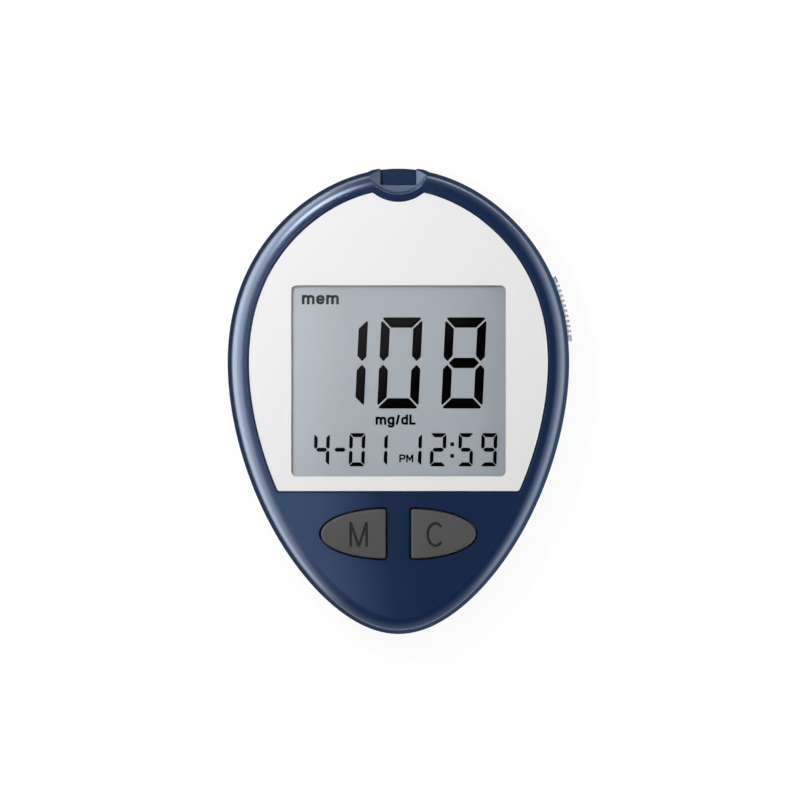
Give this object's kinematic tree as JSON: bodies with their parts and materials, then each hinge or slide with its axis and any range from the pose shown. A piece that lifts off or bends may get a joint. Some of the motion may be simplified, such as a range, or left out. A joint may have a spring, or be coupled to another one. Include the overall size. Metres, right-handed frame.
{
  "type": "blood glucose meter",
  "caption": "Egg-shaped handheld blood glucose meter with a large display, strip port, memory and clear buttons, strip ejector slider and battery door.",
  "frame": {"origin": "on the resting plane of the back, under the middle of the case", "axes": "+X to the right of the display, +Y towards the strip port, +Z out of the display"},
  "size_m": [0.0652, 0.088, 0.022],
  "materials": {
    "case_plastic": "glossy navy",
    "plate_silver": "satin silver white",
    "button_rubber": "matte dark grey",
    "slider_plastic": "matte light grey",
    "display_window": "clear",
    "display_glass": "grey liquid crystal glass",
    "inner_plastic": "matte off-white",
    "black_plastic": "matte black",
    "circuit_board": "green lacquer",
    "keypad_rubber": "matte grey",
    "steel": "satin",
    "contact_gold": "gold-plated",
    "cell_jacket": "printed jacket"
  },
  "bodies": {
    "root": {"front_cover": "case_plastic", "back_cover": "case_plastic", "face_plate": "plate_silver", "display_lens": "display_window", "lcd_panel": "display_glass", "lcd_holder": "inner_plastic", "lcd_connector": "keypad_rubber", "main_board": "circuit_board", "processor_chip": "black_plastic", "clock_crystal": "steel", "buzzer_disc": "black_plastic", "strip_connector": "black_plastic", "strip_contact_1": "contact_gold", "strip_contact_2": "contact_gold", "strip_contact_3": "contact_gold", "strip_contact_4": "contact_gold", "battery_1": "cell_jacket", "battery_2": "cell_jacket", "battery_spring_1": "steel", "battery_spring_2": "steel", "battery_contact_1": "steel", "battery_contact_2": "steel", "battery_bridge": "steel", "keypad_mat": "keypad_rubber", "memory_dome": "keypad_rubber", "clear_dome": "keypad_rubber", "guide_pin_left": "steel", "guide_pin_right": "steel", "case_screw_1": "steel", "case_screw_2": "steel", "case_screw_3": "steel", "case_screw_4": "steel"},
    "memory_key": {"memory_button": "button_rubber"},
    "clear_key": {"clear_button": "button_rubber"},
    "ejector": {"ejector_slider": "slider_plastic"},
    "pusher": {"strip_pusher": "inner_plastic"},
    "door": {"battery_door": "case_plastic"}
  },
  "joints": [
    {"name": "memory_press", "type": "slide", "parent": "root", "child": "memory_key", "axis": [0, 0, -1], "range_m": [0, 0.0008], "stiffness_N_per_m": 1250, "deforming": ["memory_dome"]},
    {"name": "clear_press", "type": "slide", "parent": "root", "child": "clear_key", "axis": [0, 0, -1], "range_m": [0, 0.0008], "stiffness_N_per_m": 1250, "deforming": ["clear_dome"]},
    {"name": "ejector_turn", "type": "hinge", "parent": "root", "child": "ejector", "pos_m": [-0.00445, 0.00866, 0.0105], "axis": [0, 0, 1], "range_deg": [0, 11], "stiffness_Nm_per_rad": 0.1},
    {"name": "pusher_slide", "type": "slide", "parent": "root", "child": "pusher", "axis": [0, 1, 0], "range_m": [0, 0.00347]},
    {"name": "door_hinge", "type": "hinge", "parent": "root", "child": "door", "pos_m": [0, 0.01655, 0.0014], "axis": [1, 0, 0], "range_deg": [0, 80]}
  ],
  "couplings": [
    {"joint": "pusher_slide", "follows": "ejector_turn", "m_per_rad": 0.018079}
  ]
}
